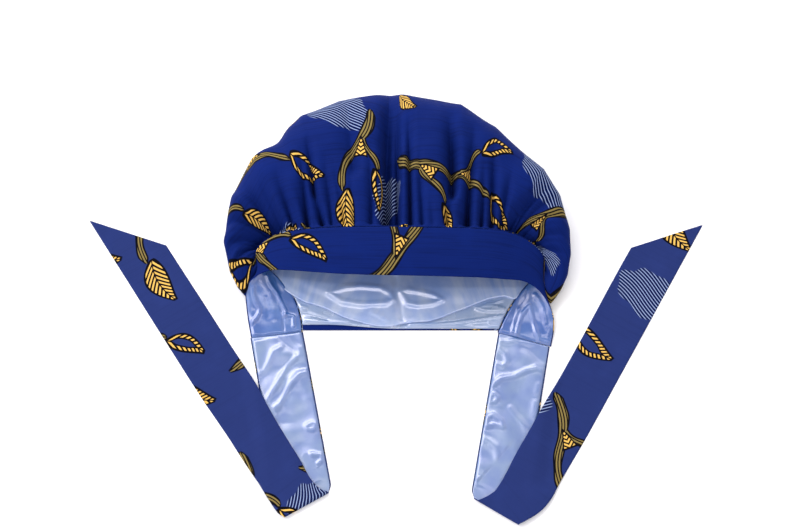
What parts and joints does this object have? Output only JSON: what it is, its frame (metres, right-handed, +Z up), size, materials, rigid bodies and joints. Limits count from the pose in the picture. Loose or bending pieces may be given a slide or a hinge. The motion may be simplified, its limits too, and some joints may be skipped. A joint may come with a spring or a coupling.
{
  "type": "satin bonnet",
  "caption": "Soft gathered bonnet with a plain front band, smooth lining, an elastic nape casing and two long flat ties with slanted ends, lying flat and open.",
  "frame": {"origin": "middle of the bounding box, on the plane it lies on", "axes": "+X across the bonnet towards the tie on the right of a viewer who looks into the mouth, +Y from the mouth towards the back of the crown, +Z up from the table"},
  "size_m": [0.5818, 0.4158, 0.0719],
  "materials": {
    "printed_cotton": null,
    "satin": "light blue satin"
  },
  "bodies": {
    "root": {"crown": "printed_cotton", "crown_lining": "satin", "front_band": "printed_cotton", "front_band_lining": "satin", "nape_casing": "printed_cotton", "nape_casing_lining": "satin", "tie_left_print": "printed_cotton", "tie_left_satin": "satin", "tie_right_print": "printed_cotton", "tie_right_satin": "satin"}
  },
  "joints": []
}
